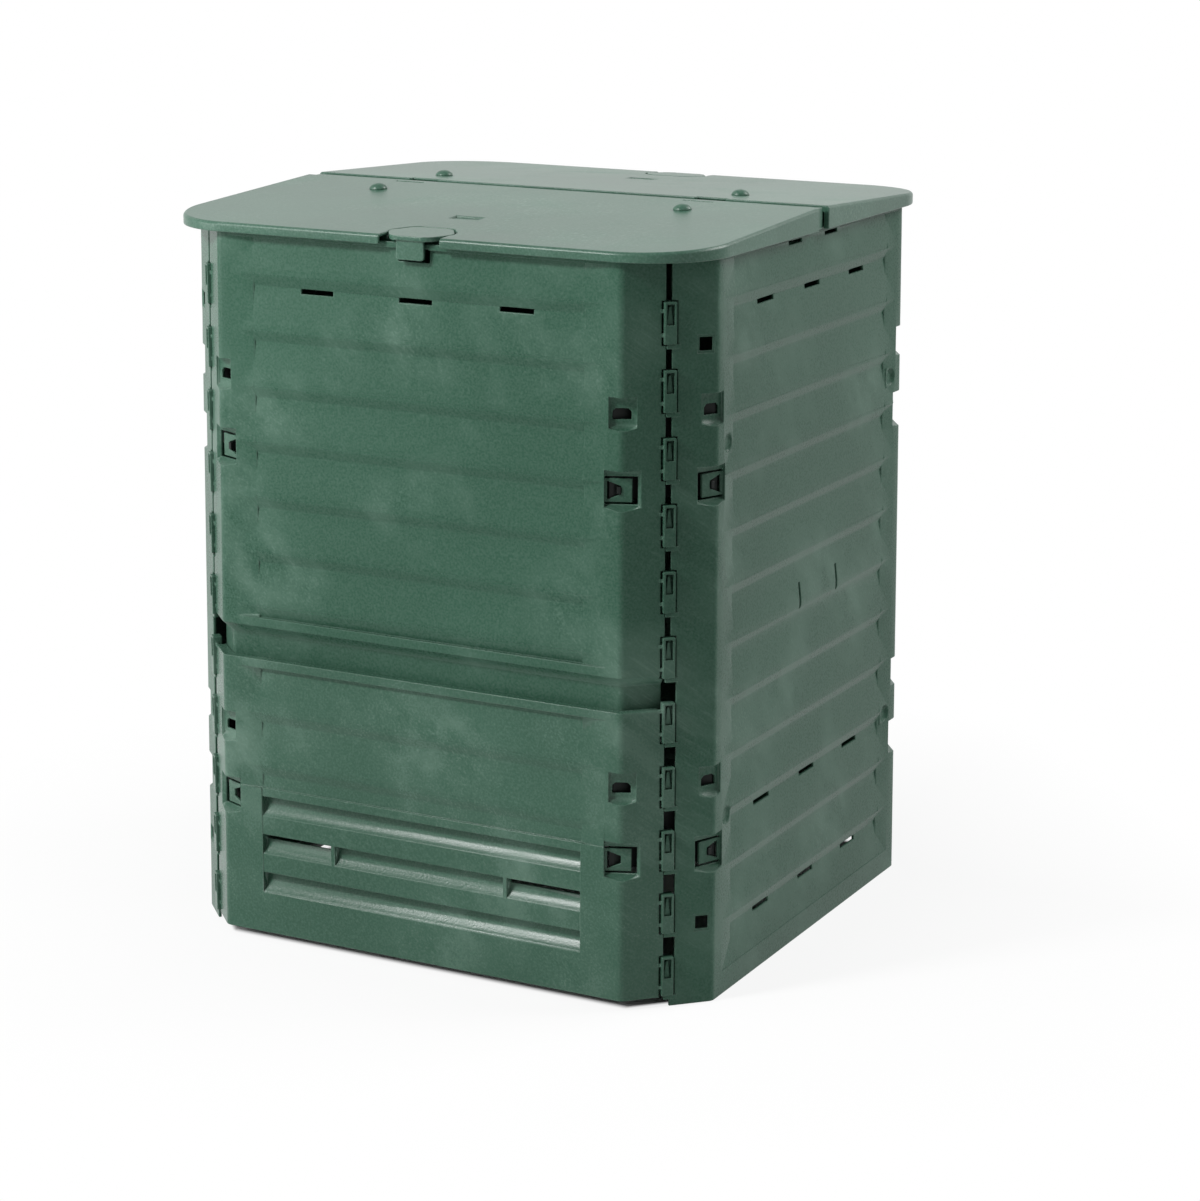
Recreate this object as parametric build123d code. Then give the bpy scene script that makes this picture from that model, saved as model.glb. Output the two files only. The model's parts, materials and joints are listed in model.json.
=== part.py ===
"""Square garden compost bin of plug-together plastic walls under a two-part lid.

Millimetres, +Z up, origin on the ground under the middle of the bin, front towards -Y.
Every wall is drawn as the front wall and turned about Z to its own side.
"""
import os
from math import cos, radians, sin, sqrt, tan

from build123d import *

# Overall sizes
lid_size = 800.0
body_bottom = 796.0
body_top = 779.0
wall_top = 984.0
wall = 4.0
corner_cut = 90.0
fold_round = 14.0
foot_round = 8.0

# Reach of cutters past the faces they open
over_cut = 1.0
through = 60.0

# Seams between the walls, and the pins and sleeves along them
front_seam = 5.0
side_seam = 3.0
first_sleeve = 15.5
sleeve_pitch = 86.0
sleeve_height = 53.5
sleeve_width = 16.4
sleeve_proud = 4.0
sleeve_back = 9.0
sleeve_slot = 2.5
sleeve_roof = 3.0
window_height = 26.0
pin_width = 9.0
pin_depth = 5.0
pin_tip = 3.0
pin_taper = 24.0
pin_front = 0.5
pin_play = 0.5
pin_short = 3.0
lug_height = 6.0
lug_proud = 1.5
rib_height = 5.0
rib_end = 9.0
rib_count = 2

# Boarded fields in the walls
field_half = 247.0
field_run = 35.0
field_step = 2.0
field_sink = 0.8
field_margin = 8.0
first_board = 56.5
board_pitch = 75.0
board_drop = 16.0
board_depth = 6.0

# Lift groove between the upper wall and the door
groove_top = 449.0
groove_depth = 15.0
skirt_low = 385.0
door_top = 403.0
door_bottom = 13.0
door_rim = 4.0
rim_play = 0.5
door_lift = 25.0

# Louvres in the door
louvre_top = 209.0
louvre_pitch = 54.5
louvre_height = 29.0
louvre_depth = 14.0
louvre_lip = 2.0
louvre_hollow = 2.5
louvre_count = 3
louvre_slit = 7.0
louvre_recess = 1.2
divider_place = 134.0
divider_wall = 6.0

# Vent slots
slot_length = 49.0
slot_height = 6.5
slot_drop = 3.0
front_slot_pitch = 149.0
side_slot_pitch = 148.0
side_slot_boards = (0, 9, 11)
top_slot_length = 41.0
top_slot_place = 58.0
top_slot_drop = 11.0
upright_slots = (-37.0, 85.0)
upright_slot_width = 5.0
upright_slot_height = 36.0
upright_slot_level = 490.0

# Pockets on the folds between walls and wings
upper_pocket_drop = 195.0
door_pocket_level = 301.0
tongue_below_pocket = 98.0
pocket_face = 16.0
pocket_wing = 19.0
pocket_height = 43.0
pocket_depth = 12.0
pocket_slot_width = 24.0
pocket_slot_height = 14.0
pocket_slot_bevel = 4.0
pocket_ledge = 7.0
tongue_face = 22.0
tongue_wing = 36.0
tongue_height = 52.0
tongue_depth = 14.0
tongue_half = 15.5
tongue_end = 13.0
tongue_slit = 2.5
tongue_gap = 7.0
tongue_hole = (-19.0, -1.0)
tongue_hole_height = 24.0
tongue_hole_narrow = 10.0
pocket_wall = 4.0
eye_size = 17.0
eye_frame = 3.0
eye_sink = 1.5
eye_place = 15.5
eye_low = 111.0
eye_drop = 110.0
dimple_place = 267.0
dimple_low = 245.0
dimple_drop = 243.0
dimple_radius = 14.0
dimple_floor = 10.0
dimple_depth = 5.0
dimple_sides = 12

# Corner stays inside the pockets
stay_set_in = 21.0
stay_wall = 4.0
stay_end = 17.0
stay_margin = 14.0
stay_nose = 2.0
stay_nose_width = 5.0
stay_play = 0.5

# Lid halves
lid_overlap = 3.0
lid_skirt = 13.0
lid_fall = 18.0
lid_gap = 32.0
lid_radius = 112.0
lid_wall = 4.0
lid_edge_bevel = 3.0
lid_return = 8.0
ridge_lip = 9.0
lid_rib_places = (-130.0, 130.0)
lid_rib_wall = 3.0
lid_rib_height = 9.0
lid_rib_end = 34.5
lid_rest_width = 60.0
lid_rest_place = 210.0
lid_rest_play = 0.3
lid_recess_width = 43.0
lid_recess_depth = 21.0
lid_recess_place = 252.0
lid_recess_sink = 2.5
buffer_place = 235.0
buffer_back = 90.0
buffer_radius = 12.5
buffer_height = 8.0
buffer_crown = 3.5
buffer_taper = 1.5
buffer_top = 6.0

# Hinge of the lid halves on the cross bar
hinge_back = 26.0
hinge_place = 225.0
knuckle_width = 44.0
knuckle_radius = 6.5
knuckle_sides = 8
arm_drop = 2.5
hinge_pin_radius = 3.0
hinge_play = 0.1
lug_wall = 6.0
lug_radius = 6.5
lug_play = 0.6
bar_half = 7.0
bar_depth = 20.0
bar_sink = 2.5
bar_below_ridge = 2.0
bar_foot_half = 24.0
bar_foot = 5.0
bar_collar = 8.5
bar_collar_wall = 4.0
bar_inner_collar = 14.0
bar_play = 0.3

# Latches at the lid's free edges
latch_width = 100.0
latch_flat = 56.0
latch_reach = 55.5
latch_thick = 6.0
latch_round = 22.0
latch_play = 2.0
latch_swing = 3.0
latch_notch_half = 45.0
latch_tray_floor = 3.0
latch_tray_depth = 19.0
latch_tray_wall = 3.0
latch_tray_rim = 2.0
latch_axis_in = 45.5
latch_axis_drop = 8.5
latch_barrel_radius = 4.0
latch_barrel_half = 20.0
latch_pin_radius = 2.0
latch_ear_wall = 4.0
latch_ear_play = 0.5
latch_tongue_width = 41.0
latch_tongue_wall = 4.0
latch_tongue_drop = 31.0
latch_tongue_set = 3.0
latch_tongue_round = 5.0
latch_bead = 2.0
keeper_width = 46.0
keeper_below = 3.5
keeper_height = 19.5

# Values that follow from the sizes above
lean = (body_bottom - body_top) / 2 / wall_top
fold_angle = 22.5
fold_tan = tan(radians(fold_angle))
chamfer_half = corner_cut / sqrt(2)
slant_low = groove_top - groove_depth
sleeve_count = int((wall_top - first_sleeve - sleeve_height) / sleeve_pitch) + 1
door_sleeves = int((door_top - first_sleeve) / sleeve_pitch) + 1
field_top = wall_top - field_margin
first_crest = wall_top - first_board
top_slot_level = wall_top - top_slot_drop
upper_pocket_level = wall_top - upper_pocket_drop
eye_levels = (eye_low, wall_top - eye_drop)
dimple_levels = (dimple_low, wall_top - dimple_drop)
lid_half = lid_size / 2
ridge_edge = lid_gap / 2
lid_low = wall_top - lid_overlap
lid_front_top = lid_low + lid_skirt
lid_ridge = lid_front_top + lid_fall
lid_slope = lid_fall / (lid_half - ridge_edge)
hinge_roof = lid_ridge - lid_slope * (hinge_back + knuckle_radius - ridge_edge) - lid_wall
hinge_level = hinge_roof - knuckle_radius - lug_play
bar_low = wall_top - bar_depth
bar_seat = wall_top - bar_sink
bar_top = lid_ridge - bar_below_ridge
latch_length = lid_half - body_top / 2 + latch_reach
latch_axis_back = body_top / 2 - latch_axis_in
latch_axis_level = lid_front_top - latch_axis_drop
latch_tray_low = lid_front_top - latch_tray_depth
latch_tongue_low = lid_front_top - latch_tongue_drop
keeper_low = latch_tongue_low - keeper_below
keeper_high = keeper_low + keeper_height


def half_width(z):
    """Distance from the bin's middle to a wall's outer face at a height."""
    return body_bottom / 2 - lean * z


def fold_point(z, inset=0.0):
    """Plan point of the right-hand fold between wall and wing, set in from the outer face."""
    h = half_width(z)
    return Vector(h - corner_cut - inset * fold_tan, -h + inset, z)


def wing_end(z, seam, inset=0.0):
    """Plan point of the right-hand wing's free edge, short of the corner's middle by the seam."""
    along = chamfer_half - seam
    base = fold_point(z)
    return base + Vector(along - inset, along + inset, 0) / sqrt(2)


def wall_line(z, inset, seam):
    """Plan points of a wall's face, from the left wing's free edge to the right one's."""
    right = [fold_point(z, inset), wing_end(z, seam, inset)]
    left = [Vector(-p.X, p.Y, p.Z) for p in right[::-1]]
    return left + right


def wall_ring(z, inset, thickness, seam):
    """Closed plan section of a wall with its two wings, with outer folds that are round."""
    ring = wall_line(z, inset, seam) + wall_line(z, inset + thickness, seam)[::-1]
    rounds = [0, fold_round, fold_round, 0] + [0] * 4
    return make_face(FilletPolyline(*ring, radius=rounds, close=True))


def wall_shell(z_low, z_high, seam, low_inset=0.0, high_inset=0.0, thickness=wall):
    """Leaning wall with wings between two heights."""
    sections = [wall_ring(z_low, low_inset, thickness, seam), wall_ring(z_high, high_inset, thickness, seam)]
    return loft(sections, ruled=True)


def plan_loft(points, z_low, z_high):
    """Solid of plan points, given as x and depth below the wall's face, that leans with the wall."""
    rings = [[(x, depth - half_width(z), z) for x, depth in points] for z in (z_low, z_high)]
    return loft([make_face(Polyline(*ring, close=True)) for ring in rings], ruled=True)


def prism_x(points, x_low, x_high):
    """Solid of an outline of (y, z) points, drawn out along X."""
    face = make_face(Polyline(*[(x_low, y, z) for y, z in points], close=True))
    return extrude(face, amount=x_high - x_low, dir=(1, 0, 0))


def prism_y(points, y_low, y_high):
    """Solid of an outline of (x, z) points, drawn out along Y."""
    face = make_face(Polyline(*[(x, y_low, z) for x, z in points], close=True))
    return extrude(face, amount=y_high - y_low, dir=(0, 1, 0))


def block(x, y, z):
    """Box between the given pairs of limits."""
    box = Box(x[1] - x[0], y[1] - y[0], z[1] - z[0], align=(Align.MIN, Align.MIN, Align.MIN))
    return Pos(x[0], y[0], z[0]) * box


def rod_x(radius, x_low, x_high, y, z):
    """Round bar along X."""
    bar = Cylinder(radius, x_high - x_low, align=(Align.CENTER, Align.CENTER, Align.MIN))
    return Pos(x_low, y, z) * Rot(0, 90, 0) * bar


def both_sides(shapes):
    """The shapes and their mirror images on the left."""
    return list(shapes) + [mirror(s, about=Plane.YZ) for s in shapes]


def corner_frame(z):
    """Frame in the middle of the right-hand corner: x along the corner's face, y inwards."""
    middle = wing_end(z, 0.0)
    return Location(Plane(middle, x_dir=(1, 1, 0), z_dir=(0, 0, 1)))


def fold_frame(z):
    """Frame on the right-hand fold: x across the fold towards the wing, y inwards."""
    across = (cos(radians(fold_angle)), sin(radians(fold_angle)), 0)
    return Location(Plane(fold_point(z), x_dir=across, z_dir=(0, 0, 1)))


# Boarded field

def depth_at(z):
    """Depth of the board pattern below the wall's face at a height."""
    below = (first_crest - z) % board_pitch
    if below < board_drop:
        return board_depth * below / board_drop
    return board_depth * (board_pitch - below) / (board_pitch - board_drop)


def board_heights(z_low, z_high):
    """Heights at which the board pattern bends, with both ends, from the bottom up."""
    count = int(wall_top / board_pitch) + 2
    crests = [first_crest - board_pitch * i for i in range(-1, count)]
    bends = crests + [c - board_drop for c in crests]
    return [z_low] + sorted(z for z in bends if z_low < z < z_high) + [z_high]


def field_recess(depth, z_low, z_high):
    """Cutter that sinks a wall's field below its margins."""
    return plan_loft([(-field_half, -wall), (field_half, -wall), (field_half, depth), (-field_half, depth)],
                     z_low, z_high)


def boarded(panel, z_low, z_high):
    """Sinks the board pattern into a wall, runs it out at both ends, and follows it on the inside."""
    tip = field_half + field_run
    hip = board_depth - field_step
    deep = 2 * wall + board_depth
    heights = board_heights(z_low, z_high)
    face = [(-half_width(z) + depth_at(z), z) for z in heights]
    outside = [(-half_width(z) - wall, z) for z in (z_high, z_low)]
    back = [(y + wall, z) for y, z in face]
    inside = [(-half_width(z) + deep, z) for z in (z_high, z_low)]
    rim = [(-tip, wall / 2), (tip, wall / 2), (tip, wall + board_depth), (-tip, wall + board_depth)]
    thickened = panel + plan_loft(rim, z_low - wall, z_high + wall)
    hipped = [(-tip, -wall), (-tip, 0), (-field_half, hip), (-field_half, through),
              (field_half, through), (field_half, hip), (tip, 0), (tip, -wall)]
    front_cut = prism_x(face + outside, -tip, tip) & plan_loft(hipped, z_low, z_high)
    back_cut = prism_x(back + inside, -tip, tip)
    hip_back = [(field_half, hip + wall), (tip, wall), (tip, deep), (field_half, deep)]
    panel = thickened - front_cut - back_cut - both_sides([plan_loft(hip_back, z_low, z_high)])
    return panel - field_recess(field_sink, z_low, z_high)


def vent(x, z, length=slot_length, height=slot_height):
    """Cutter for a vent slot through a wall's flat part."""
    h = half_width(z)
    depth = (-h - wall, -h + through)
    return block((x - length / 2, x + length / 2), depth, (z - height / 2, z + height / 2))


def board_vents(board, pitch):
    """Cutters for three vents at the foot of a board's drop."""
    level = first_crest - board * board_pitch - board_drop - slot_drop
    return [vent(i * pitch, level) for i in (-1, 0, 1)]


# Pockets on the folds

def pocket_profile(height, depth):
    """Outline of a pocket in depth and height, with a sloping ledge at its foot."""
    low, high = -height / 2, height / 2
    return [(-through, high), (depth, high), (depth, low + pocket_ledge), (0, low), (-through, low)]


def pocket_backing(face, wing, height, depth):
    """Block that carries a pocket's floor and sides inside the wall."""
    return block((-face - pocket_wall, wing + pocket_wall), (0, depth + pocket_wall),
                 (-height / 2 - pocket_wall, height / 2 + pocket_wall))


def slot_cutter():
    """Cutter for the slot in a pocket's floor, with slanting upper corners."""
    half, high = pocket_slot_width / 2, pocket_slot_height / 2
    slant = pocket_slot_bevel
    return prism_y([(-half, -high), (half, -high), (half, high - slant), (half - slant, high),
                    (slant - half, high), (-half, high - slant)], 0, through)


def tongue_cutters():
    """Cutters that free a snap tongue in a pocket's floor and open the hole in it."""
    depth = (tongue_depth / 2, through)
    end = tongue_end + tongue_gap
    slits = [block((-tongue_face, end), depth, (tongue_half, tongue_half + tongue_slit)),
             block((-tongue_face, end), depth, (-tongue_half - tongue_slit, -tongue_half)),
             block((tongue_end, end), depth, (-tongue_half, tongue_half))]
    wide, narrow = tongue_hole_height / 2, tongue_hole_narrow / 2
    start, end = tongue_hole
    hole = [(start, -wide), (end, -narrow), (end, narrow), (start, wide)]
    return slits + [prism_y(hole, *depth)]


def tongue_room():
    """Cutter for a tongue pocket, with a floor that ramps out to the wing past the tongue."""
    room = prism_x(pocket_profile(tongue_height, tongue_depth), -tongue_face, tongue_wing)
    ramp = [(-tongue_face, -through), (tongue_wing, -through), (tongue_wing, 0),
            (tongue_end + tongue_gap, tongue_depth), (-tongue_face, tongue_depth)]
    plan = make_face(Polyline(*[(x, y, -tongue_height) for x, y in ramp], close=True))
    return room & extrude(plan, amount=2 * tongue_height, dir=(0, 0, 1))


def pocketed(panel, levels, seam, z_low, z_high):
    """Adds the slot pockets and tongue pockets on both folds at the given levels."""
    backing, cuts = [], []
    for level in levels:
        slot_place, tongue_place = fold_frame(level), fold_frame(level - tongue_below_pocket)
        backing += [slot_place * pocket_backing(pocket_face, pocket_wing, pocket_height, pocket_depth),
                    tongue_place * pocket_backing(tongue_face, tongue_wing, tongue_height, tongue_depth)]
        slot_room = prism_x(pocket_profile(pocket_height, pocket_depth), -pocket_face, pocket_wing)
        cuts += [slot_place * slot_room, slot_place * slot_cutter(), tongue_place * tongue_room()]
        cuts += [tongue_place * c for c in tongue_cutters()]
    inside = wall_shell(z_low, z_high, seam, low_inset=wall / 2, high_inset=wall / 2, thickness=through)
    backing = [b & inside for b in both_sides(backing)]
    return panel + backing - both_sides(cuts)


# Pins and sleeves along the corners

def sleeve_level(i):
    """Height of the foot of a sleeve, counted from the bottom."""
    return first_sleeve + i * sleeve_pitch


def sleeve_room(i, rise):
    """Cutter that clears a sleeve, and the height it lifts, from a wing's edge."""
    reach = sleeve_width / 2 + sleeve_slot
    return corner_frame(sleeve_level(i)) * block(
        (-reach, reach), (-through, through / 2), (-sleeve_slot / 2, sleeve_height + rise))


def sleeve(i):
    """Sleeve with a window on its upper half, open below for the pin, on ribs to its wing."""
    half = sleeve_width / 2
    body = block((-half, half), (-sleeve_proud, sleeve_back), (0, sleeve_height))
    bore_half = pin_width / 2 + pin_play
    bore_depth = (-pin_front - pin_play, pin_depth - pin_front + pin_play)
    roof = sleeve_height - sleeve_roof
    bore = block((-bore_half, bore_half), bore_depth, (-over_cut, roof))
    window = block((-bore_half, bore_half), (-through, 0), (roof - window_height, roof))
    rib_step = (sleeve_height - rib_height - 2 * rib_end) / (rib_count - 1)
    ribs = []
    for k in range(rib_count):
        low = rib_end + k * rib_step
        ribs.append(block((-half - 2 * sleeve_slot, -half + over_cut), (0, wall), (low, low + rib_height)))
    return corner_frame(sleeve_level(i)) * (body - bore - window + ribs)


def corner_pin(i):
    """Pin that tapers to its tip, on a lug of a side wall's wing below a sleeve."""
    half = pin_width / 2
    reach = sleeve_width / 2 + 2 * sleeve_slot
    back = pin_depth - pin_front
    lug = block((-reach, half), (-lug_proud, back), (-lug_height, 0))
    tip = sleeve_height - sleeve_roof - pin_short
    outline = [(-half, -over_cut), (half, -over_cut), (half, tip - pin_taper), (pin_tip / 2, tip),
               (-pin_tip / 2, tip), (-half, tip - pin_taper)]
    return corner_frame(sleeve_level(i)) * (lug + prism_y(outline, -pin_front, back))


def sleeved(panel, numbers):
    """Clears a front or rear wall's wing edges and hangs its sleeves there."""
    rooms = [sleeve_room(i, sleeve_slot / 2) for i in numbers]
    return panel - both_sides(rooms) + both_sides([sleeve(i) for i in numbers])


def pinned(panel):
    """Clears a side wall's wing edges for the sleeves and sets the pins."""
    rises = [door_lift + over_cut if i < door_sleeves else sleeve_slot / 2 for i in range(sleeve_count)]
    rooms = [sleeve_room(i, rises[i]) for i in range(sleeve_count)]
    return panel - both_sides(rooms) + both_sides([corner_pin(i) for i in range(sleeve_count)])


# Walls

def upper_panel():
    """Upper front wall with the lift groove along its foot."""
    panel = wall_shell(groove_top, wall_top, front_seam)
    panel += wall_shell(slant_low, groove_top, front_seam, low_inset=groove_depth)
    panel += wall_shell(skirt_low, slant_low, front_seam, low_inset=groove_depth, high_inset=groove_depth)
    panel = boarded(panel, groove_top + 3 * wall, field_top)
    panel = pocketed(panel, [upper_pocket_level], front_seam, groove_top, wall_top)
    keeper = vent(0, (keeper_low + keeper_high) / 2, keeper_width, keeper_high - keeper_low)
    panel = panel - board_vents(0, front_slot_pitch) - keeper
    return sleeved(panel, range(door_sleeves, sleeve_count))


def louvre_shape(i, x_low, x_high):
    """Hollow of a louvre: a lip above, a deep throat, and a hollow ramp out to the face below."""
    top = louvre_top - i * louvre_pitch
    foot = top - louvre_height
    y_top, y_foot = -half_width(top), -half_width(foot)
    throat = (y_top + louvre_depth, top - louvre_lip)
    middle = ((throat[0] + y_foot) / 2 + louvre_hollow, (throat[1] + foot) / 2 - louvre_hollow)
    ramp = ThreePointArc((x_low, *throat), (x_low, *middle), (x_low, y_foot, foot))
    rest = Polyline((x_low, y_foot, foot), (x_low, y_foot - wall, foot), (x_low, y_top - wall, top),
                    (x_low, y_top, top), (x_low, *throat))
    return extrude(make_face([ramp, rest]), amount=x_high - x_low, dir=(1, 0, 0))


def louvre_backing(i):
    """Housing of a louvre on the inside of the door."""
    top = louvre_top - i * louvre_pitch
    foot = top - louvre_height
    y = -half_width(top)
    deep = y + louvre_depth + wall
    outline = [(y + wall / 2, top + wall), (deep, top + wall - louvre_lip), (deep, top - 2 * louvre_lip),
               (y + wall / 2, foot - wall)]
    return prism_x(outline, -field_half - wall, field_half + wall)


def door():
    """Removal door: boards above, three louvres below, and a rim that closes on the groove's skirt."""
    panel = wall_shell(door_bottom, door_top, front_seam)
    feet = [e for e in panel.edges().group_by(Axis.Z)[0] if e.length < 2 * wall]
    panel = fillet(feet, foot_round)
    rim_depth = groove_depth - rim_play - wall / 2
    panel += wall_shell(door_top - door_rim, door_top, front_seam, wall / 2, wall / 2, rim_depth)
    panel = boarded(panel, louvre_top + 3 * wall, door_top - door_rim - 2 * wall)
    panel = panel + [louvre_backing(i) for i in range(louvre_count)]
    inner = divider_place - divider_wall / 2
    outer = divider_place + divider_wall / 2
    spans = [(-field_half, field_half), (-inner, inner), (-field_half, field_half)]
    hollows = [louvre_shape(i, *spans[i]) for i in range(louvre_count)]
    ends = louvre_shape(1, outer, field_half)
    slit_top = louvre_top - louvre_pitch - louvre_lip
    y = -half_width(slit_top)
    slit = block((outer, field_half), (y + wall, y + through), (slit_top - louvre_slit, slit_top))
    lowest = louvre_top - (louvre_count - 1) * louvre_pitch - louvre_height
    panel = panel - hollows - both_sides([ends, slit])
    panel -= field_recess(louvre_recess, lowest, louvre_top + 3 * wall)
    panel = pocketed(panel, [door_pocket_level], front_seam, door_bottom, door_top)
    return sleeved(panel, range(door_sleeves))


def dimple_cutter():
    """Cutter for a round dimple that narrows to its floor."""
    flare = (dimple_radius - dimple_floor) / dimple_depth
    rings = []
    for depth in (-over_cut, dimple_depth):
        ring = RegularPolygon(dimple_radius - flare * depth, dimple_sides)
        rings.append(Pos(0, depth, 0) * Rot(-90, 0, 0) * ring)
    return loft(rings, ruled=True)


def side_panel():
    """Side wall in one piece from the ground to the lid, with the corner pins."""
    panel = wall_shell(0, wall_top, side_seam)
    panel = boarded(panel, 2 * wall + slot_length / 2, field_top)
    panel = pocketed(panel, [upper_pocket_level, door_pocket_level], side_seam, 0, wall_top)
    bosses, cuts = [], []
    for level in dimple_levels:
        spot = Pos(dimple_place, -half_width(level), level)
        across = (-dimple_radius, dimple_radius)
        bosses.append(spot * block(across, (wall / 2, wall + dimple_depth), across))
        cuts.append(spot * dimple_cutter())
    for level in eye_levels:
        along_wing = Location(Plane(fold_point(level), x_dir=(1, 1, 0), z_dir=(0, 0, 1)))
        for half, depth in ((eye_size / 2, 2 * wall), (eye_size / 2 + eye_frame, eye_sink)):
            eye = block((eye_place - half, eye_place + half), (-wall, depth), (-half, half))
            cuts.append(along_wing * eye)
    panel = panel + both_sides(bosses) - both_sides(cuts)
    vents = [v for board in side_slot_boards for v in board_vents(board, side_slot_pitch)]
    vents += [vent(x, top_slot_level, top_slot_length) for x in (-top_slot_place, top_slot_place)]
    vents += [vent(x, upright_slot_level, upright_slot_width, upright_slot_height) for x in upright_slots]
    seat = half_width(wall_top)
    vents.append(block((-bar_half - bar_play, bar_half + bar_play), (-seat - wall, -seat + through),
                       (bar_seat, wall_top + over_cut)))
    return pinned(panel - vents)


# Corner stays

def stay_line(level, door_side):
    """Outer and inner plan line of a stay at one wall: its end on the tongue pocket's back, then its knee."""
    back = tongue_depth + pocket_wall + (stay_play if door_side else 0.0)
    turn = radians(fold_angle)
    lines = []
    for thick in (0.0, stay_wall):
        depth, inset = back + thick, stay_set_in + thick
        knee = (depth * cos(turn) - inset) / sin(turn)
        lines.append([(fold_frame(level) * Pos(x, depth, 0)).position for x in (-stay_end, knee)])
    return [[Vector(p.X, p.Y, 0) for p in line] for line in lines]


def corner_stay(pocket_level, door_side):
    """Bent strip inside the front right corner, with noses in the tongue holes.

    Its side-wall end plugs in. Its other end plugs into a fixed wall too, but stops short of a door,
    which has to lift past it.
    """
    tongue_level = pocket_level - tongue_below_pocket
    low, high = tongue_level - stay_margin, pocket_level + stay_margin
    corner = Plane((0, 0, 0), z_dir=(1, 1, 0))
    outer, inner = stay_line(tongue_level, door_side)
    far_outer, far_inner = [[Vector(-p.Y, -p.X, 0) for p in line] for line in stay_line(tongue_level, False)]
    plan = make_face(Polyline(*outer, *far_outer[::-1], *far_inner, *inner[::-1], close=True))
    strip = extrude(Pos(0, 0, low) * plan, amount=high - low, dir=(0, 0, 1))
    end = tongue_hole[1] - stay_play
    half = tongue_hole_narrow / 2 - stay_play
    depth = (tongue_depth - stay_nose, tongue_depth + pocket_wall + 1.5 * stay_wall)
    nose = fold_frame(tongue_level) * block((end - stay_nose_width, end), depth, (-half, half))
    noses = [mirror(nose, about=corner)]
    if not door_side:
        noses.append(nose)
    return strip + noses


# Lid

def lid_plan(set_in):
    """Plan of a lid half with rounded free corners, set in all round but at the ridge."""
    reach, radius = lid_half - set_in, lid_radius - set_in
    straight = lid_half - lid_radius
    edge = Polyline((-reach, -straight), (-reach, -ridge_edge), (reach, -ridge_edge), (reach, -straight))
    slant = radius / sqrt(2)
    right = ThreePointArc((reach, -straight), (straight + slant, -straight - slant), (straight, -reach))
    front = Line((straight, -reach), (-straight, -reach))
    left = ThreePointArc((-straight, -reach), (-straight - slant, -straight - slant), (-reach, -straight))
    return make_face([edge, right, front, left])


def lid_level(y, below=0.0):
    """Height of the lid's top at a distance in front of the middle."""
    return lid_ridge - lid_slope * (abs(y) - ridge_edge) - below


def under_slope(below, low):
    """Everything under the lid's sloping top, down to a height."""
    front, ridge = -lid_half - over_cut, -ridge_edge + over_cut
    outline = [(front, low), (ridge, low), (ridge, lid_level(ridge, below)), (front, lid_level(front, below))]
    return prism_x(outline, front, -front)


def hinge_lugs(x):
    """Two lugs under a lid half, either side of a knuckle of the cross bar."""
    near = knuckle_width / 2 + lug_play
    top = lid_level(hinge_back, lid_wall / 2)
    foot = lug_radius * fold_tan
    outline = [(-lug_radius, top), (-lug_radius, hinge_level - foot), (-foot, hinge_level - lug_radius),
               (foot, hinge_level - lug_radius), (lug_radius, hinge_level - foot), (lug_radius, top)]
    outline = [(y - hinge_back, z) for y, z in outline]
    return [prism_x(outline, low, low + lug_wall) for low in (x + near, x - near - lug_wall)]


def latch_outline(grow=0.0):
    """Six-sided plan of a latch with round corners, drawn flat at the lid's free edge."""
    half, flat, length = latch_width / 2 + grow, latch_flat / 2 + grow / 2, latch_length / 2 + grow
    points = [(half, 0), (flat, length), (-flat, length), (-half, 0), (-flat, -length), (flat, -length)]
    outline = make_face(FilletPolyline(*points, radius=latch_round, close=True))
    return Pos(0, -lid_half + latch_length / 2, 0) * outline


def lid_front():
    """Front half of the lid: a sloping tray upside down, with a well for the latch and hinge lugs."""
    outer = extrude(lid_plan(0), amount=lid_ridge - lid_low, dir=(0, 0, 1))
    outer = (Pos(0, 0, lid_low) * outer) & under_slope(0, lid_low)
    rims = outer.edges().filter_by(lambda e: e.center().Z > lid_front_top - lid_skirt / 4)
    rims = rims.filter_by(lambda e: e.center().Y < -lid_gap)
    outer = chamfer(rims, lid_edge_bevel)
    low = lid_low - over_cut
    hollow = extrude(lid_plan(lid_wall), amount=lid_ridge - low, dir=(0, 0, 1))
    hollow = (Pos(0, 0, low) * hollow) & under_slope(lid_wall, low)
    ridge_back = block((-lid_size, lid_size), (-ridge_edge - lid_wall, 0), (low, lid_ridge))
    lid = outer - (hollow - ridge_back)
    clear = lid_half - lid_return
    lid -= block((-clear, clear), (-ridge_edge - lid_wall - over_cut, over_cut), (low, lid_ridge - ridge_lip))
    additions = [lug for x in (-hinge_place, hinge_place) for lug in hinge_lugs(x)]
    rib_room = under_slope(lid_wall / 2, lid_low) - under_slope(lid_wall + lid_rib_height, lid_low - through)
    for x in lid_rib_places:
        rib = block((x, x + lid_rib_wall), (lid_rib_end - body_top / 2, -hinge_back - 2 * lug_radius),
                    (lid_low, lid_ridge))
        additions.append(rib & rib_room)
    rest_level = wall_top + lid_rest_play
    seat = -half_width(wall_top)
    for x in (-lid_rest_place, lid_rest_place):
        rest = block((x - lid_rest_width / 2, x + lid_rest_width / 2), (seat, seat + 2 * wall),
                     (rest_level, lid_ridge))
        additions.append(rest & under_slope(lid_wall / 2, lid_low))
    lid = lid + additions
    return lid_well(lid)


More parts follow.
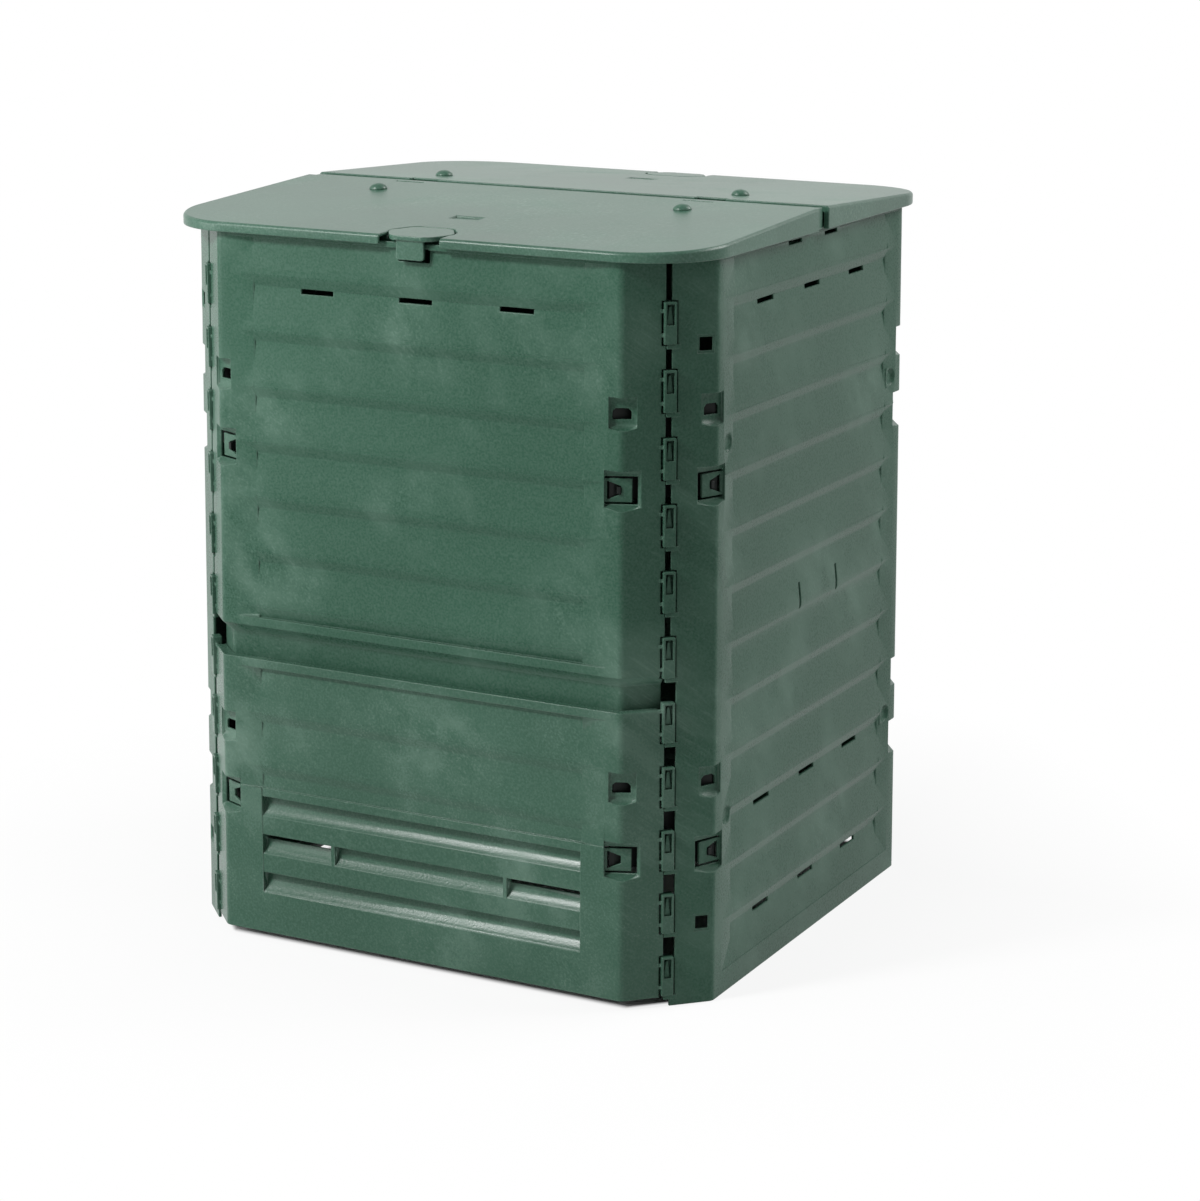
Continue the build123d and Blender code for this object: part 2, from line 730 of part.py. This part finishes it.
def latch_tray():
    """Walled well under the latch, inside the front wall, with two ears for the latch's pin."""
    front = -half_width(wall_top) + wall + board_depth + latch_play
    rear = -lid_half + latch_length + latch_play + latch_swing + latch_tray_wall
    side = latch_width / 2 + latch_play + latch_tray_wall
    floor = latch_tray_low + latch_tray_floor
    body = block((-side, side), (front, rear), (latch_tray_low, lid_ridge))
    body = body & under_slope(lid_wall / 2, latch_tray_low)
    room = extrude(Pos(0, 0, floor) * latch_outline(latch_play), amount=through, dir=(0, 0, 1))
    room += Pos(0, latch_swing, 0) * room
    rim = block((-side, side), (front - lid_size, front + latch_tray_wall),
                (floor, wall_top + latch_tray_rim))
    ear_low = latch_barrel_half + latch_ear_play
    y = (-latch_axis_back - latch_barrel_radius, -latch_axis_back + latch_barrel_radius)
    z = (floor - over_cut, latch_axis_level + latch_barrel_radius)
    ears = [block((x, x + latch_ear_wall), y, z) for x in (ear_low, -ear_low - latch_ear_wall)]
    edge = block((-latch_notch_half, latch_notch_half), (-lid_size, front), (lid_low - over_cut, lid_ridge))
    return body, [room - rim, edge], ears


def lid_well(lid):
    """Sinks the latch's well into the front lid half, and clears the hinge arms and a shallow recess."""
    body, room, ears = latch_tray()
    lid = lid + body - room + ears
    ear_end = latch_barrel_half + latch_ear_play + latch_ear_wall
    cuts = [rod_x(latch_pin_radius, -ear_end, ear_end, -latch_axis_back, latch_axis_level)]
    half = knuckle_width / 2 + lug_play
    pin_half = half + lug_wall + over_cut
    bore = hinge_pin_radius + hinge_play / 2
    notch = (2 * lug_play - hinge_back, 0)
    for x in (-hinge_place, hinge_place):
        cuts.append(block((x - half, x + half), notch, (lid_low, lid_ridge + over_cut)))
        cuts.append(rod_x(bore, x - pin_half, x + pin_half, -hinge_back, hinge_level))
    cuts.append(on_slope(0, -lid_recess_place) * Box(lid_recess_width, lid_recess_depth, 2 * lid_recess_sink))
    return lid - cuts


def on_slope(x, y):
    """Frame on the front lid half's top, with z square to the slope."""
    return Location(Plane((x, y, lid_level(y)), x_dir=(1, 0, 0), z_dir=(0, -lid_slope, 1)))


def lid_buffers():
    """Pair of round buffers on the front lid half."""
    shoulder = buffer_height - buffer_crown
    half_section = [(0, 0), (buffer_radius, 0), (buffer_radius - buffer_taper, shoulder),
                    (buffer_top, buffer_height), (0, buffer_height)]
    section = make_face(Polyline(*[(x, 0, z) for x, z in half_section], close=True))
    button = revolve(section, axis=Axis.Z)
    return Compound([on_slope(x, -buffer_back) * button for x in (-buffer_place, buffer_place)])


def latch():
    """Latch plate flush with the lid, with a barrel on its pivot and a tongue that hangs before the wall."""
    slope_turn = Location(Plane((0, -lid_half, lid_front_top), x_dir=(1, 0, 0), z_dir=(0, -lid_slope, 1)))
    plate = extrude(Pos(0, lid_half, -latch_thick) * latch_outline(), amount=latch_thick, dir=(0, 0, 1))
    plate = slope_turn * plate
    across = (-latch_barrel_half, latch_barrel_half)
    barrel = rod_x(latch_barrel_radius, *across, -latch_axis_back, latch_axis_level)
    neck = block(across, (-latch_axis_back - latch_barrel_radius, -latch_axis_back + latch_barrel_radius),
                 (latch_axis_level, lid_level(latch_axis_back, latch_thick / 2)))
    front = -lid_half + latch_tongue_set
    back = front + latch_tongue_wall
    half = latch_tongue_width / 2
    tongue = block((-half, half), (front, back), (latch_tongue_low, lid_front_top - latch_thick / 2))
    tongue = fillet(tongue.edges().filter_by(Axis.Y).group_by(Axis.Z)[0], latch_tongue_round)
    bead_low = keeper_low + (keeper_high - keeper_low) / 2
    nose = [(back, bead_low), (back + latch_bead, bead_low + latch_bead), (back, bead_low + 2 * latch_bead)]
    bead = prism_x(nose, -half + latch_tongue_round, half - latch_tongue_round)
    bore = rod_x(latch_pin_radius + hinge_play / 2, -lid_half, lid_half, -latch_axis_back, latch_axis_level)
    return plate + barrel + neck + tongue + bead - bore


def latch_pin():
    """Pivot pin of a latch, between the ears of the lid's well."""
    half = latch_barrel_half + latch_ear_play + latch_ear_wall
    return rod_x(latch_pin_radius, -half, half, -latch_axis_back, latch_axis_level)


def hinge_pins():
    """Pair of pins through the front lid half's lugs and the cross bar's knuckles."""
    half = knuckle_width / 2 + lug_play + lug_wall
    places = (-hinge_place, hinge_place)
    return Compound([rod_x(hinge_pin_radius, x - half, x + half, -hinge_back, hinge_level) for x in places])


def lid_bridge():
    """Cross bar from side wall to side wall, with four knuckles for the lid halves."""
    end = half_width(wall_top) + bar_collar_wall
    bar = block((-end, end), (-bar_half, bar_half), (bar_seat, bar_top))
    inner = half_width(wall_top) - wall - board_depth - bar_play
    bar += block((-inner, inner), (-bar_half, bar_half), (bar_low, bar_top))
    bar += block((-inner, inner), (-bar_foot_half, bar_foot_half), (bar_low - bar_foot, bar_low))
    across = (-bar_collar, bar_collar)
    outer_face = half_width(bar_seat) + bar_play
    collars = [block((outer_face, outer_face + bar_collar_wall), across, (bar_seat, bar_top)),
               block((inner - bar_inner_collar, inner), across, (bar_low, bar_top))]
    knuckles = []
    outline = Plane.YZ * Rot(0, 0, 180 / knuckle_sides) * RegularPolygon(knuckle_radius, knuckle_sides)
    arm_low = hinge_level - knuckle_radius * cos(radians(180 / knuckle_sides))
    for x in (-hinge_place, hinge_place):
        low, high = x - knuckle_width / 2, x + knuckle_width / 2
        knuckles.append(block((low, high), (-hinge_back, hinge_back), (arm_low, hinge_level - arm_drop)))
        for y in (-hinge_back, hinge_back):
            knuckles.append(Pos(low, y, hinge_level) * extrude(outline, amount=knuckle_width, dir=(1, 0, 0)))
    bores = [rod_x(hinge_pin_radius, x - knuckle_width, x + knuckle_width, y, hinge_level)
             for x in (-hinge_place, hinge_place) for y in (-hinge_back, hinge_back)]
    return bar + both_sides(collars) + knuckles - bores


def turned(shape, degrees):
    """A front piece turned about the bin's middle to another side."""
    return Rot(0, 0, degrees) * shape


def main():
    upper, lower, side = upper_panel(), door(), side_panel()
    lid, buffers, lock, lock_pin, pins = lid_front(), lid_buffers(), latch(), latch_pin(), hinge_pins()
    nodes = {"lid_bridge": lid_bridge(), "right_panel": turned(side, 90), "left_panel": turned(side, -90)}
    for name, degrees in (("front", 0), ("rear", 180)):
        nodes[f"{name}_upper_panel"] = turned(upper, degrees)
        nodes[f"{name}_door"] = turned(lower, degrees)
        nodes[f"lid_{name}"] = turned(lid, degrees)
        nodes[f"{name}_lid_buffers"] = turned(buffers, degrees)
        nodes[f"{name}_latch"] = turned(lock, degrees)
        nodes[f"{name}_latch_pin"] = turned(lock_pin, degrees)
        nodes[f"{name}_hinge_pins"] = turned(pins, degrees)
    for level_name, level in (("upper", upper_pocket_level), ("lower", door_pocket_level)):
        stay = corner_stay(level, level_name == "lower")
        other = mirror(stay, about=Plane.YZ)
        for name, shape, degrees in (("front_right", stay, 0), ("front_left", other, 0),
                                     ("rear_left", stay, 180), ("rear_right", other, 180)):
            nodes[f"{name}_stay_{level_name}"] = turned(shape, degrees)
    os.makedirs("parts", exist_ok=True)
    for name, shape in nodes.items():
        export_step(shape, f"parts/{name}.step")
        print(name, len(shape.solids()), round(shape.volume / 1000), "cm3")


main()
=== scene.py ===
# %% [markdown]
# A garden compost bin of plug-together plastic walls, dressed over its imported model.
# Every piece of the bin is a moulding of recycled green plastic, so this lesson is mostly
# about one finish seen in many lights: satin walls, a pale lid, dark slots.
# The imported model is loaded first, because each later step measures it or rides on it.

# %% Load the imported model
import json
from math import cos, radians, sin

import bmesh
import bpy
from mathutils import Matrix, Vector


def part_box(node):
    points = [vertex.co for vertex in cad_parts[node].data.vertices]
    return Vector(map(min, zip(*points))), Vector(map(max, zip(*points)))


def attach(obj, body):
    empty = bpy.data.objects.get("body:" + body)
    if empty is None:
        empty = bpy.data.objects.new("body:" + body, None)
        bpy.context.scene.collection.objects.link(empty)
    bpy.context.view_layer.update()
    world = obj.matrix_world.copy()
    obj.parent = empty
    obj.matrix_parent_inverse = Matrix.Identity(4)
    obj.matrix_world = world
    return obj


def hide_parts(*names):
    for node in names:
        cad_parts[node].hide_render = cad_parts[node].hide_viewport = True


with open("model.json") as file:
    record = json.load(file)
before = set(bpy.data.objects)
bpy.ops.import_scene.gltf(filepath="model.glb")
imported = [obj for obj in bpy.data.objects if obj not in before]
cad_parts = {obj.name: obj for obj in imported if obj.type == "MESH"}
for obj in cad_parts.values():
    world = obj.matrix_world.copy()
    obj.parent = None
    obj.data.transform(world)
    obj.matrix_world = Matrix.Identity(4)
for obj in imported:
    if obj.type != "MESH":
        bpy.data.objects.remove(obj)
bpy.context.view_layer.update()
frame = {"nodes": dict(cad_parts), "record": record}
nodes = frame["nodes"]

# %% [markdown]
# The camera stands to the right of the bin's front, half a metre above the lid, with a long lens.
# A camera can be aimed by a constraint, but writing its matrix from three angles keeps the
# slight tilt of the view, and leaves nothing to be solved when the scene is drawn.

# %% Camera
camera_place = Vector((2.0529, -3.7888, 1.5296))
camera_azimuth = radians(27.658)
camera_elevation = radians(14.356)
camera_roll = radians(0.202)
camera_lens = 93.62
sensor_width = 36.0


def outward(azimuth, elevation):
    """Direction away from the bin at an azimuth (0 is the front) and an elevation."""
    level = cos(elevation)
    return Vector((sin(azimuth) * level, -cos(azimuth) * level, sin(elevation)))


def view_matrix(place, azimuth, elevation, roll):
    """Matrix of a camera or lamp that looks back at the bin from an azimuth and an elevation."""
    back = outward(azimuth, elevation)
    right = Vector((cos(azimuth), sin(azimuth), 0))
    up = back.cross(right)
    axes = (cos(roll) * right + sin(roll) * up, cos(roll) * up - sin(roll) * right, back)
    turn = Matrix(axes).transposed().to_4x4()
    return Matrix.Translation(place) @ turn


lens = bpy.data.cameras.new("camera")
lens.lens = camera_lens
lens.sensor_width = sensor_width
lens.sensor_fit = "HORIZONTAL"
camera = bpy.data.objects.new("camera", lens)
camera.matrix_world = view_matrix(camera_place, camera_azimuth, camera_elevation, camera_roll)
scene = bpy.context.scene
scene.collection.objects.link(camera)
scene.camera = camera
scene.view_settings.view_transform = "Standard"
print("camera", [round(v, 3) for v in camera.location], "lens", lens.lens)

# %% [markdown]
# Shader nodes are easier to read as sums than as boxes and wires.
# This class wraps one output socket. Python's operators on it add Math nodes,
# and its node method adds any other node: settings first, then what goes into the sockets.

# %% Shader values as expressions


class Shade:
    """One output socket of a node tree, with Python's operators as Math nodes."""

    def __init__(self, tree, socket=None):
        self.tree = tree
        self.socket = socket

    def node(self, kind, settings=None, sockets=None, out=0):
        """Adds a node and returns one of its outputs."""
        made = self.tree.nodes.new(kind)
        for name, value in (settings or {}).items():
            setattr(made, name, value)
        for name, value in (sockets or {}).items():
            if isinstance(value, Shade):
                self.tree.links.new(value.socket, made.inputs[name])
            else:
                made.inputs[name].default_value = value
        return Shade(self.tree, made.outputs[out] if made.outputs else None)

    def math(self, operation, first, second):
        """Result of a Math node on two values or numbers."""
        return self.node("ShaderNodeMath", {"operation": operation}, {0: first, 1: second})

    def __add__(self, other):
        return self.math("ADD", self, other)

    __radd__ = __add__

    def __sub__(self, other):
        return self.math("SUBTRACT", self, other)

    def __rsub__(self, other):
        return self.math("SUBTRACT", other, self)

    def __mul__(self, other):
        return self.math("MULTIPLY", self, other)

    __rmul__ = __mul__

    def ramp(self, low, high):
        """0 below one level, 1 above the other, and a straight rise between them."""
        return self.node("ShaderNodeMapRange", {}, {"Value": self, "From Min": low, "From Max": high})

    def blend(self, first, second):
        """Colour between two colours, with this value as the share of the second."""
        colours = {0: self, 6: first, 7: second}
        return self.node("ShaderNodeMix", {"data_type": "RGBA"}, colours, out=2)


def fresh_tree(owner):
    """Empty node tree of a material or a world."""
    owner.use_nodes = True
    owner.node_tree.nodes.clear()
    return Shade(owner.node_tree)


print("shader operators ready")

# %% [markdown]
# The bin is shown on plain white. A world bright enough to look white would bleach the plastic,
# so it is white only to rays that are seen or mirrored, and dim to those that carry light.
# The Light Path node tells these rays apart. The bin itself is lit by lamps.

# %% World
white = (1, 1, 1, 1)
dim_world = 0.19


def seen_rays(pen):
    """1 for rays from the camera, a mirror or a glass, and 0 for those that only carry light."""
    hidden = 1
    for kind in ("Is Camera Ray", "Is Glossy Ray", "Is Transmission Ray"):
        hidden = hidden * (1 - pen.node("ShaderNodeLightPath", out=kind))
    return 1 - hidden


world = bpy.data.worlds.new("studio")
scene.world = world
pen = fresh_tree(world)
strength = dim_world + (1 - dim_world) * seen_rays(pen)
sky = pen.node("ShaderNodeBackground", {}, {"Color": white, "Strength": strength})
pen.node("ShaderNodeOutputWorld", {}, {"Surface": sky})
print("world lights at", dim_world)

# %% [markdown]
# The bin stands on a sheet of white paper, which glows to the same rays as the world.
# Close to the bin the paper keeps some of its own shading, so it still takes the shadow.
# Under the bin it doesn't glow at all, because slots and holes look down on it there.
# A painted mask could tell these places apart. Here the distance from the bin's middle does,
# measured square to the sides of the bin's foot and to its cut corners.

# %% Floor
floor_half = 12.0
floor_drop = 0.0005
floor_white = (0.85, 0.85, 0.85, 1)
near_share = 0.85
near_reach = 0.45
far_reach = 1.1
foot_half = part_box("right_panel")[1][0]
foot_corner = 0.090
foot_margin = 0.012

paper = bpy.data.materials.new("floor_paper")
pen = fresh_tree(paper)
matt = pen.node("ShaderNodeBsdfDiffuse", {}, {"Color": floor_white})
glow = pen.node("ShaderNodeEmission", {}, {"Color": white, "Strength": 1.0})
place = pen.node("ShaderNodeTexCoord", out="Object")
sides = [pen.node("ShaderNodeSeparateXYZ", {}, {0: place}, out=axis) for axis in "XY"]
across, along = (pen.math("ABSOLUTE", side, 0) for side in sides)
away = pen.math("MAXIMUM", across, along)
away = pen.math("MAXIMUM", away, across + along - (foot_half - foot_corner))
share = near_share + (1 - near_share) * away.ramp(near_reach, far_reach)
share = share * away.ramp(foot_half - 2 * foot_margin, foot_half - foot_margin)
sheet = pen.node("ShaderNodeMixShader", {}, {0: share * seen_rays(pen), 1: matt, 2: glow})
pen.node("ShaderNodeOutputMaterial", {}, {"Surface": sheet})

mesh = bpy.data.meshes.new("floor")
shape = bmesh.new()
bmesh.ops.create_grid(shape, x_segments=1, y_segments=1, size=floor_half,
                      matrix=Matrix.Translation((0, 0, -floor_drop)))
shape.to_mesh(mesh)
shape.free()
floor = bpy.data.objects.new("floor", mesh)
floor.data.materials.append(paper)
scene.collection.objects.link(floor)
print("floor", 2 * floor_half, "m square")

# %% [markdown]
# One sun would be the simplest light, but its hard shadows would hide the soft folds of the walls.
# So two large soft lamps stand left of the front and behind the right side.
# The faces between the two, such as the corner wings, turn away from both and come out darkest,
# which makes the folds readable. A third, small and high on the left, hangs just where
# the slanting foot of a louvre mirrors it into the camera: that draws the bright bands.

# %% Lamps
lamp_aim = Vector((0, 0, 0.4))


def softbox(name, azimuth, elevation, distance, size, power):
    """Square lamp that looks at the bin from an azimuth (0 is the front) and an elevation in degrees."""
    light = bpy.data.lights.new(name, "AREA")
    light.size = size
    light.energy = power
    lamp = bpy.data.objects.new(name, light)
    turn, rise = radians(azimuth), radians(elevation)
    lamp.matrix_world = view_matrix(lamp_aim + distance * outward(turn, rise), turn, rise, 0)
    scene.collection.objects.link(lamp)
    return lamp


lamps = [
    softbox("front_lamp", azimuth=-50, elevation=14, distance=4.2, size=2.2, power=68),
    softbox("side_lamp", azimuth=129, elevation=40, distance=4.2, size=2.2, power=112),
    softbox("high_lamp", azimuth=-29.4, elevation=40.6, distance=3.96, size=0.6, power=114),
]
print("lamps", [lamp.name for lamp in lamps])

# %% [markdown]
# Recycled polypropylene is dull green with a satin skin. On the real walls it is never even:
# fine slanting scratches from handling, and edges that wear pale. Pale smears a hand wide are painted
# into the colour as well: painted sheen, standing for gloss reflections off an uneven skin. The pale edges
# are partly wear and partly a painted highlight. A picture wrapped round each wall could show all this,
# but it would have to be painted and unwrapped. Noise on Object coordinates needs neither,
# and the pattern stays on the wall when a door lifts or the lid opens.

# %% Patterns in the plastic
slant_turn = (0, radians(35.26), radians(45))
streak_scale = 1.0
streak_detail = 4.0
wear_and_highlight_levels = (0.02, 0.25)


def noise(pen, place, scale, detail):
    """Soft random pattern with a number of spots to the metre."""
    sockets = {"Vector": place, "Scale": scale, "Detail": detail}
    return pen.node("ShaderNodeTexNoise", {}, sockets)


def slanting(pen, place, length, width):
    """Random streaks that slant down to the right on the front and on the side."""
    sockets = {"Vector": place, "Rotation": slant_turn, "Scale": (length, width, width)}
    along = pen.node("ShaderNodeMapping", {"vector_type": "TEXTURE"}, sockets)
    return noise(pen, along, streak_scale, streak_detail)


# The pale edges this mask makes are partly wear and partly a painted highlight along the rims.
def worn_and_highlit_edges(pen, rounded):
    """1 where a rounded edge turns away from the face it belongs to."""
    true = pen.node("ShaderNodeNewGeometry", out="True Normal")
    normals = {0: rounded, 1: true}
    along = pen.node("ShaderNodeVectorMath", {"operation": "DOT_PRODUCT"}, normals, out="Value")
    return (1 - along).ramp(*wear_and_highlight_levels)


print("patterns", [pattern.__name__ for pattern in (noise, slanting, worn_and_highlit_edges)])

# %% [markdown]
# One function makes every finish of the bin from these patterns, because all its pieces are moulded alike.
# The patterns blend the colour towards a pale one, make the skin duller or shinier, and raise a fine grain.
# Part of that pale is painted light: smears of painted sheen, and a painted highlight along the edges.
# The Bevel node rounds what the eye takes for sharp edges and tells where they are painted pale, partly as
# wear and partly as a highlight.
# A plastic has three colours, dark, main and pale, and its own share of painted sheen, roughness and shine.

# %% Plastic finish
green = ((0.028, 0.077, 0.050, 1), (0.037, 0.096, 0.064, 1), (0.124, 0.203, 0.160, 1))
lid_green = ((0.017, 0.064, 0.039, 1), (0.040, 0.115, 0.075, 1), (0.190, 0.285, 0.235, 1))
# Almost lightless colours for the stays: painted shade for the dark inside seen through the pockets' holes.
shade_black = ((0.004, 0.006, 0.005, 1), (0.006, 0.009, 0.008, 1), (0.012, 0.016, 0.014, 1))
tint_scale, tint_detail, tint_levels = 2.3, 3.0, (0.35, 0.7)
cloud_scale, cloud_detail, cloud_levels = 5.0, 5.0, (0.46, 0.70)
grain_scale, grain_detail, grain_levels = 320.0, 4.0, (0.42, 0.75)
grain_middle = 0.5
# Size and levels of the pale smears of painted sheen.
smear_length, smear_width, smear_levels = 0.22, 0.045, (0.38, 0.68)
scratch_length, scratch_width, scratch_levels = 0.035, 0.003, (0.52, 0.70)
clear_scratches = 0.2
scratch_share, grain_share, wear_and_highlight_share = 0.45, 0.22, 0.5
smear_dulling, grain_dulling, scratch_shine = 0.10, 0.1, 0.04
bump_strength, bump_height, scratch_height = 0.6, 0.00025, 0.5
edge_radius, edge_samples = 0.002, 4


def plastic(name, colours, painted_sheen_share, satin, sheen):
    """Satin moulded plastic of three colours, dark to pale, with smears of painted sheen, scratches, grain,
    and edges painted pale as wear and highlight.
    """
    dark, main, pale = colours
    material = bpy.data.materials.new(name)
    pen = fresh_tree(material)
    place = pen.node("ShaderNodeTexCoord", out="Object")
    clouds = noise(pen, place, cloud_scale, cloud_detail).ramp(*cloud_levels)
    # Pale smears painted into the colour: painted sheen, standing for gloss reflections off an uneven skin.
    # Where they lie the skin is also made a little rougher.
    painted_sheen = clouds * slanting(pen, place, smear_length, smear_width).ramp(*smear_levels)
    lines = slanting(pen, place, scratch_length, scratch_width).ramp(*scratch_levels)
    lines = lines * (clear_scratches + (1 - clear_scratches) * clouds)
    grain = noise(pen, place, grain_scale, grain_detail)
    tint = noise(pen, place, tint_scale, tint_detail).ramp(*tint_levels)
    rounded = pen.node("ShaderNodeBevel", {"samples": edge_samples}, {"Radius": edge_radius})
    colour = tint.blend(dark, main)
    # Pale blends: smears of painted sheen, real scratches and grain, and edges that are partly wear, partly
    # a painted highlight.
    pale_shares = (
        painted_sheen * painted_sheen_share,
        lines * scratch_share,
        grain.ramp(*grain_levels) * grain_share,
        worn_and_highlit_edges(pen, rounded) * wear_and_highlight_share,
    )
    for share in pale_shares:
        colour = share.blend(colour, pale)
    roughness = satin + smear_dulling * painted_sheen + grain_dulling * (grain - grain_middle) - scratch_shine * lines
    bump = pen.node("ShaderNodeBump", {}, {
        "Strength": bump_strength, "Distance": bump_height,
        "Height": grain + scratch_height * lines, "Normal": rounded})
    skin = pen.node("ShaderNodeBsdfPrincipled", {}, {
        "Base Color": colour, "Roughness": roughness, "Specular IOR Level": sheen, "Normal": bump})
    pen.node("ShaderNodeOutputMaterial", {}, {"Surface": skin})
    return material


wall_plastic = plastic("wall_plastic_finish", green, painted_sheen_share=0.65, satin=0.28, sheen=0.11)
door_plastic = plastic("door_plastic_finish", green, painted_sheen_share=0.65, satin=0.25, sheen=0.21)
lid_plastic = plastic("lid_plastic_finish", lid_green, painted_sheen_share=0.35, satin=0.31, sheen=0.34)
pin_plastic = plastic("pin_plastic_finish", green, painted_sheen_share=0.3, satin=0.28, sheen=0.4)
# Painted shade: the stays stand in for the shade inside the corners.
stay_shade_plastic = plastic("stay_painted_shade_finish", shade_black, painted_sheen_share=0.3, satin=0.5, sheen=0.2)
plastics = (wall_plastic, door_plastic, lid_plastic, pin_plastic, stay_shade_plastic)
print("finishes", [finish.name for finish in plastics])

# %% [markdown]
# Every imported piece gets the finish of its material slot, which its record names, with two exceptions.
# The doors with their louvres are the same plastic as the walls, but shinier, as from a polished mould.
# The stays inside the corners show only through the pockets' holes, which look pitch-dark on the real bin
# because of the shade inside. So the stays get an almost lightless finish: painted shade, not their own
# colour.

# %% Dress the imported pieces
finishes = {"wall_plastic": wall_plastic, "lid_plastic": lid_plastic, "pins": pin_plastic}
slots = {part["node"]: part["material_slot"] for part in frame["record"]["subparts"]}


def finish_of(name):
    """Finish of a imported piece, or of what stands in its place."""
    for word, finish in (("stay", stay_shade_plastic), ("door", door_plastic)):
        if word in name:
            return finish
    return finishes[slots[name]]


for name, piece in nodes.items():
    piece.data.materials.clear()
    piece.data.materials.append(finish_of(name))
print("dressed", len(nodes), "pieces")

# %% [markdown]
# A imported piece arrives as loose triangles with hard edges, and its own mesh stays as it is.
# So a copy is joined up again before its edges can be worked on.
# On the lids and latches the flat triangles are merged into whole faces too,
# which keeps their broad tops free of streaks. The walls have too many holes for that:
# a bevel would tear the many-sided faces. Weighted normals keep the flats flat.

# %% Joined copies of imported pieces
merge_distance = 1e-6
flat_angle = radians(0.3)
smooth_angle = radians(40)
bodies = frame["record"]["behaviour"]["bodies"]
body_of = {part: body for body, parts in bodies.items() for part in parts}


def joined_copy(name, whole):
    """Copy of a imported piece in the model's own frame, its triangles joined or even made whole faces."""
    shape = bmesh.new()
    shape.from_mesh(nodes[name].data)
    shape.transform(nodes[name].matrix_world)
    bmesh.ops.remove_doubles(shape, verts=shape.verts, dist=merge_distance)
    if whole:
        bmesh.ops.dissolve_limit(shape, angle_limit=flat_angle, verts=shape.verts, edges=shape.edges)
    return shape


def show(name, shape, finish, body):
    """Makes a shown piece of a finished shape, smooth but for its sharp edges."""
    bmesh.ops.recalc_face_normals(shape, faces=shape.faces)
    mesh = bpy.data.meshes.new(name)
    shape.to_mesh(mesh)
    shape.free()
    mesh.shade_smooth()
    mesh.set_sharp_from_angle(angle=smooth_angle)
    mesh.materials.append(finish)
    piece = bpy.data.objects.new(name, mesh)
    scene.collection.objects.link(piece)
    piece.modifiers.new("flat_faces", "WEIGHTED_NORMAL").keep_sharp = True
    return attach(piece, body)


print(len(bodies), "bodies carry", len(body_of), "pieces")

# %% [markdown]
# On a moulding every outer edge is a little round, because molten plastic doesn't fill a sharp corner.
# A Bevel modifier could round the edges, but it would take the inward corners as well.
# So the outward edges are picked by their angle, and the bevel operator gets only these.
# Very short ones are left out, because two bevels would meet on them. Faces that end up
# without any area are cleared away.

# %% Soft edges for the mouldings
sharp_angle = radians(30)
edge_segments = 2
lid_edge = {"width": 0.0012, "shortest": 0.003}
latch_edge = {"width": 0.0010, "shortest": 0.002}
wall_edge = {"width": 0.0008, "shortest": 0.0018}


def outward_edges(shape, shortest):
    """Sharp outward edges that are not too short to bevel."""
    whole = [edge for edge in shape.edges if edge.is_manifold and edge.calc_length() > shortest]
    return [edge for edge in whole if edge.calc_face_angle_signed() > sharp_angle]


def softened(name, width, shortest, whole=False):
    """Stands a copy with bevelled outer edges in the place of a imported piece."""
    shape = joined_copy(name, whole)
    edges = outward_edges(shape, shortest)
    bmesh.ops.bevel(shape, geom=edges, offset=width, segments=edge_segments, profile=0.5, affect="EDGES",
                    clamp_overlap=False, material=-1)
    bmesh.ops.dissolve_degenerate(shape, edges=shape.edges, dist=merge_distance)
    piece = show(f"{name}_soft", shape, finish_of(name), body_of[name])
    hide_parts(name)
    print(piece.name, len(edges), "edges,", len(piece.data.polygons), "faces")


for side in ("front", "rear"):
    softened(f"lid_{side}", **lid_edge, whole=True)
    softened(f"{side}_latch", **latch_edge, whole=True)
    softened(f"{side}_upper_panel", **wall_edge)
    softened(f"{side}_door", **wall_edge)
for name in ("left_panel", "right_panel", "lid_bridge"):
    softened(name, **wall_edge)

# %% [markdown]
# Each lid half carries two round buffers, which keep it off the other half when it is thrown open.
# They are low domes. A ball is the nearest ready-made shape: it is cut at its middle,
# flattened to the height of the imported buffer, and turned to the slope of the lid.

# %% Dome buffers
dome_rings = 12
dome_sides = 40
middle_margin = 1e-4


def lid_slope(name):
    """Direction square to the top of a lid half."""
    mesh = nodes[name].data
    top = max(mesh.polygons, key=lambda face: face.area)
    normal = nodes[name].matrix_world.to_3x3() @ top.normal
    return normal if normal.z > 0 else -normal


def dome(shape, points, upward):
    """Adds a dome that fills the place of a packed buffer."""
    turn = upward.to_track_quat("Z", "Y").to_matrix().to_4x4()
    level = [turn.inverted() @ point for point in points]
    low, high = (Vector([pick(point[i] for point in level) for i in range(3)]) for pick in (min, max))
    ball = bmesh.ops.create_uvsphere(shape, u_segments=dome_sides, v_segments=2 * dome_rings, radius=1.0)
    size = Matrix.Diagonal(((high.x - low.x) / 2, (high.y - low.y) / 2, high.z - low.z, 1))
    foot = Matrix.Translation(((low.x + high.x) / 2, (low.y + high.y) / 2, low.z))
    lower = [v for v in ball["verts"] if v.co.z < -middle_margin]
    bmesh.ops.delete(shape, geom=lower, context="VERTS")
    kept = [v for v in ball["verts"] if v.is_valid]
    bmesh.ops.transform(shape, matrix=turn @ foot @ size, verts=kept)


for side in ("front", "rear"):
    name = f"{side}_lid_buffers"
    points = [nodes[name].matrix_world @ v.co for v in nodes[name].data.vertices]
    shape = bmesh.new()
    for sign in (-1, 1):
        dome(shape, [point for point in points if sign * point.x > 0], lid_slope(f"lid_{side}"))
    bmesh.ops.holes_fill(shape, edges=[edge for edge in shape.edges if edge.is_boundary])
    piece = show(f"{side}_domes", shape, lid_plastic, body_of[name])
    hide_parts(name)
    print(piece.name, len(piece.data.polygons), "faces")
